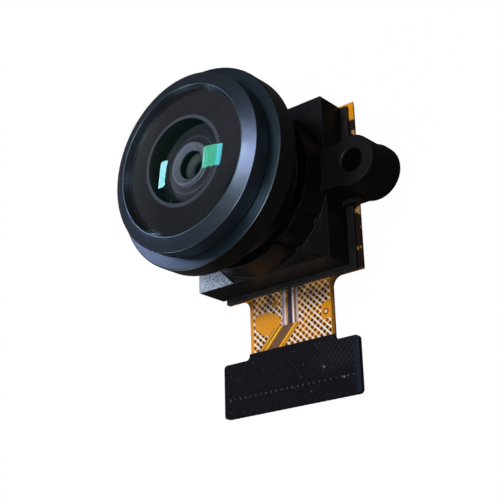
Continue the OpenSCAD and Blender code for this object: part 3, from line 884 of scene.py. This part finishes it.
class CAMERA_MODULE_OT_thread(ModuleOperator):
    """Winds the focusing thread round the barrel between holder and flange"""

    bl_idname = "camera_module.thread"
    bl_label = "Focusing thread"

    def build(self, scene):
        look = scene.lens_look
        thread_radius = 5 * MM
        low = TOWER_TOP_Z + 0.3 * MM
        high = BARREL_BOX[0].z + 4.0 * MM
        material = bpy.data.materials["barrel_anodised"]
        tree = Tree("thread", material, {
            "Turns": (high - low) / look.thread_pitch,
            "Radius": thread_radius,
            "Height": high - low,
            "Depth": look.thread_depth,
            "Base": low,
        })
        spiral = tree.node("GeometryNodeCurveSpiral", {}, {
            "Resolution": 96, "Rotations": tree.size("Turns"), "Start Radius": tree.size("Radius"),
            "End Radius": tree.size("Radius"), "Height": tree.size("Height")})
        ridge = tree.node("GeometryNodeCurvePrimitiveCircle", {}, {
            "Resolution": 3, "Radius": tree.size("Depth")})
        wound = tree.node("GeometryNodeCurveToMesh", {}, {
            0: spiral.outputs[0], 1: ridge.outputs[0], "Fill Caps": True})
        rise = tree.node("ShaderNodeCombineXYZ", {}, {"Z": tree.size("Base")})
        placed = tree.node("GeometryNodeTransform", {}, {0: wound.outputs[0], "Translation": rise.outputs[0]})
        piece = tree.finish("focus_thread", placed.outputs[0])
        settle(piece, "barrel_anodised")


class CAMERA_MODULE_OT_glass(ModuleOperator):
    """Finishes the front element, the inner elements and the filter"""

    bl_idname = "camera_module.glass"
    bl_label = "Glass"

    def build(self, scene):
        look = scene.lens_look
        front = clear_glass(
            "coated_glass", (0.96, 0.98, 1.0), look.glass_ior, tuple(look.coating_tint), domed=True)
        # The inner glass is tinted grey as painted shade, so that the lens's depths and pupil go dark.
        inner = clear_glass("inner_glass", (0.42, 0.47, 0.47), 1.55, (0.01, 0.07, 0.035))
        cut = clear_glass("filter_glass", (0.7, 0.85, 0.95), 1.52, (1.0, 0.4, 0.5))
        dress(["front_element"], front)
        dress(["second_element", "third_element", "fourth_element", "fifth_element",
               "sensor_cover_glass"], inner)
        dress(["infrared_filter"], cut)


class CAMERA_MODULE_OT_holder(ModuleOperator):
    """Finishes the moulded holder with its ears, the glue and the label"""

    bl_idname = "camera_module.holder"
    bl_label = "Holder"

    def build(self, scene):
        plastic = moulded_black()
        settle(rounded_copy("lens_holder", "holder_moulding", plastic, 0.05), "moulded_black", "lens_holder")
        epoxy = epoxy_black()
        settle(rounded_copy("base_glue", "glue_fillet", epoxy, 0.12, segments=3), "black_epoxy", "base_glue")
        dress(["focus_glue"], epoxy)
        dress(["label"], label_print())


class CAMERA_MODULE_OT_circuit(ModuleOperator):
    """Finishes the flexible circuit, its stiffeners, the contacts and the small parts"""

    bl_idname = "camera_module.circuit"
    bl_label = "Circuit"

    def build(self, scene):
        look = scene.flex_look
        dress(["flex_circuit"], flex_film(look))
        dress(["plug_stiffener"], plug_film())
        dress(["head_stiffener"], laminate_black())
        dress(["contact_fingers"], contact_gold())
        dress(["sensor_package"],
              speckled("sensor_silicon", (0.03, 0.035, 0.04), (0.06, 0.065, 0.07), 0.3, 2.0))
        dress(["sensor_solder_balls"],
              speckled("solder", (0.5, 0.5, 0.52), (0.72, 0.72, 0.74), 0.3, 4.0))
        dress(["chip_capacitors", "chip_resistors"],
              speckled("chip_ceramic", (0.25, 0.17, 0.1), (0.4, 0.29, 0.18), 0.5, 3.0))


class CAMERA_MODULE_OT_marks(ModuleOperator):
    """Raises the row of contact marks through the plug end's film"""

    bl_idname = "camera_module.marks"
    bl_label = "Contact marks"

    def build(self, scene):
        look = scene.flex_look
        low, high = CONTACTS_BOX
        width = high.x - low.x
        row_from_tip = 1.42 * MM
        pitch = width / look.mark_count
        tree = Tree("marks", bpy.data.materials["plug_film"], {
            "Count": look.mark_count,
            "Start": low.x + pitch / 2,
            "Step": (width - pitch) / (look.mark_count - 1),
            "Row": PLUG_BOX[0].y + row_from_tip,
            "Level": PLUG_BOX[1].z,
            "Radius": look.mark_radius,
        })
        start = tree.node("ShaderNodeCombineXYZ", {}, {
            "X": tree.size("Start"), "Y": tree.size("Row"), "Z": tree.size("Level")})
        step = tree.node("ShaderNodeCombineXYZ", {}, {"X": tree.size("Step")})
        row = tree.node("GeometryNodeMeshLine", {"mode": "OFFSET"}, {
            "Count": tree.size("Count"), "Start Location": start.outputs[0], "Offset": step.outputs[0]})
        dome = tree.node("GeometryNodeMeshUVSphere", {}, {
            "Segments": 12, "Rings": 8, "Radius": tree.size("Radius")})
        sizes = tree.node("FunctionNodeRandomValue", {"data_type": "FLOAT_VECTOR"}, {
            0: (0.7, 0.7, 0.25), 1: (1.2, 1.1, 0.5), "Seed": 4})
        dots = tree.node("GeometryNodeInstanceOnPoints", {}, {
            "Points": row.outputs[0], "Instance": dome.outputs[0], "Scale": sizes.outputs[0]})
        piece = tree.finish("plug_marks", dots.outputs[0])
        shade(piece.data, 60)
        settle(piece, "plug_film")


class CAMERA_MODULE_PT_panel(bpy.types.Panel):
    """Lists the module's operators and their settings"""

    bl_label = "Camera module"
    bl_space_type = "VIEW_3D"
    bl_region_type = "UI"
    bl_category = "Camera module"

    def draw(self, context):
        for operator in OPERATORS:
            self.layout.operator(operator.bl_idname)
        for group in GROUPS:
            settings = getattr(context.scene, group)
            for name in settings.__annotations__:
                self.layout.prop(settings, name)


OPERATORS = (
    CAMERA_MODULE_OT_stage,
    CAMERA_MODULE_OT_lens,
    CAMERA_MODULE_OT_thread,
    CAMERA_MODULE_OT_glass,
    CAMERA_MODULE_OT_holder,
    CAMERA_MODULE_OT_circuit,
    CAMERA_MODULE_OT_marks,
)
CLASSES = (*GROUPS.values(), *OPERATORS, CAMERA_MODULE_PT_panel)


def register():
    for item in CLASSES:
        bpy.utils.register_class(item)
    for name, group in GROUPS.items():
        setattr(bpy.types.Scene, name, PointerProperty(type=group))


def unregister():
    for name in GROUPS:
        delattr(bpy.types.Scene, name)
    for item in reversed(CLASSES):
        bpy.utils.unregister_class(item)


def main():
    register()
    for operator in OPERATORS:
        group, name = operator.bl_idname.split(".")
        getattr(getattr(bpy.ops, group), name)()


if __name__ == "__main__":
    main()
